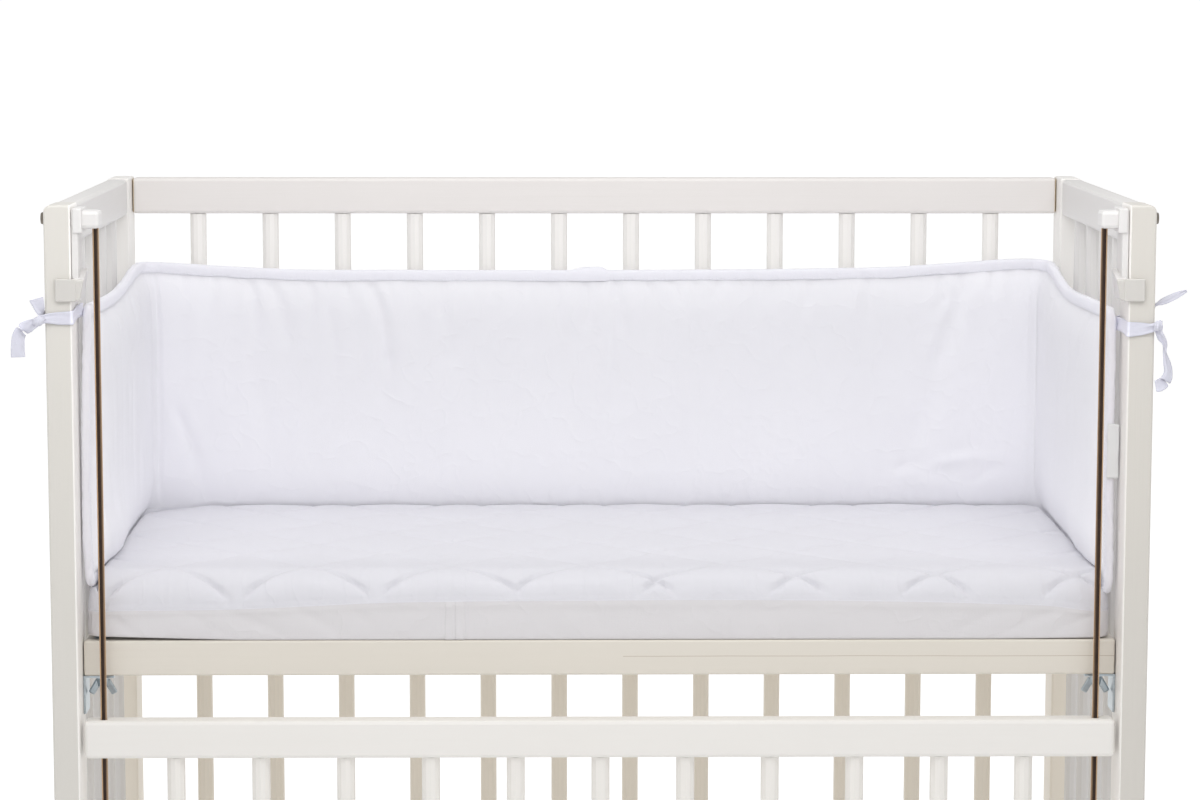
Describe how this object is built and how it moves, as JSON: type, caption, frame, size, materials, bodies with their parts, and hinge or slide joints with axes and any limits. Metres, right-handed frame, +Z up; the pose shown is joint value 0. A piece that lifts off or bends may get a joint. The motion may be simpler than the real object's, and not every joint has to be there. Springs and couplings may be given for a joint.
{
  "type": "crib bumper tied inside a bedside crib with its mattress",
  "caption": "Padded crib bumper with a taped edge and tied corners, standing round three sides of a mattress in a white wooden bedside crib whose open side slides down on guide rods.",
  "frame": {"origin": "on the floor, under the middle of the whole", "axes": "+Z up, +X along the crib's length to the right, +Y from the open long side to the back"},
  "size_m": [1.0105, 0.4579, 0.86],
  "materials": {
    "bumper_cloth": "matt white cotton over padding",
    "tape_cloth": "matt cotton bias tape, slightly bluer white",
    "label_cloth": "bare woven tag",
    "mattress_cloth": "matt quilted white cover",
    "white_wood": "satin warm white lacquer",
    "board_wood": "cream edge, fine grain",
    "white_plastic": "satin off-white",
    "zinc": "bright zinc",
    "dark_steel": "dark lacquered steel"
  },
  "bodies": {
    "crib": {"front_post_left": "white_wood", "back_post_left": "white_wood", "side_panel_left": "white_wood", "corner_bolt_left": "zinc", "front_plate_left": "zinc", "back_plate_left": "zinc", "board_bolt_left": "zinc", "wing_nut_left": "zinc", "guide_rod_left": "dark_steel", "rod_fitting_left": "white_plastic", "rod_shoe_left": "white_plastic", "front_post_right": "white_wood", "back_post_right": "white_wood", "side_panel_right": "white_wood", "corner_bolt_right": "zinc", "front_plate_right": "zinc", "back_plate_right": "zinc", "board_bolt_right": "zinc", "wing_nut_right": "zinc", "guide_rod_right": "dark_steel", "rod_fitting_right": "white_plastic", "rod_shoe_right": "white_plastic", "back_top_rail": "white_wood", "back_foot_rail": "white_wood", "mattress_board": "board_wood", "back_bar_01": "white_wood", "back_bar_02": "white_wood", "back_bar_03": "white_wood", "back_bar_04": "white_wood", "back_bar_05": "white_wood", "back_bar_06": "white_wood", "back_bar_07": "white_wood", "back_bar_08": "white_wood", "back_bar_09": "white_wood", "back_bar_10": "white_wood", "back_bar_11": "white_wood", "back_bar_12": "white_wood", "mattress": "mattress_cloth", "bumper_pad": "bumper_cloth", "bumper_tape": "tape_cloth", "bumper_label": "label_cloth", "tie_left_front": "tape_cloth", "tie_left_rear": "tape_cloth", "tie_right_front": "tape_cloth", "tie_right_rear": "tape_cloth"},
    "drop_side": {"drop_top_rail": "white_wood", "drop_foot_rail": "white_wood", "drop_bar_01": "white_wood", "drop_bar_02": "white_wood", "drop_bar_03": "white_wood", "drop_bar_04": "white_wood", "drop_bar_05": "white_wood", "drop_bar_06": "white_wood", "drop_bar_07": "white_wood", "drop_bar_08": "white_wood", "drop_bar_09": "white_wood", "drop_bar_10": "white_wood", "drop_bar_11": "white_wood"}
  },
  "joints": [
    {"name": "drop_side_slide", "type": "slide", "parent": "crib", "child": "drop_side", "axis": [0, 0, 1], "range_m": [0, 0.367]}
  ]
}
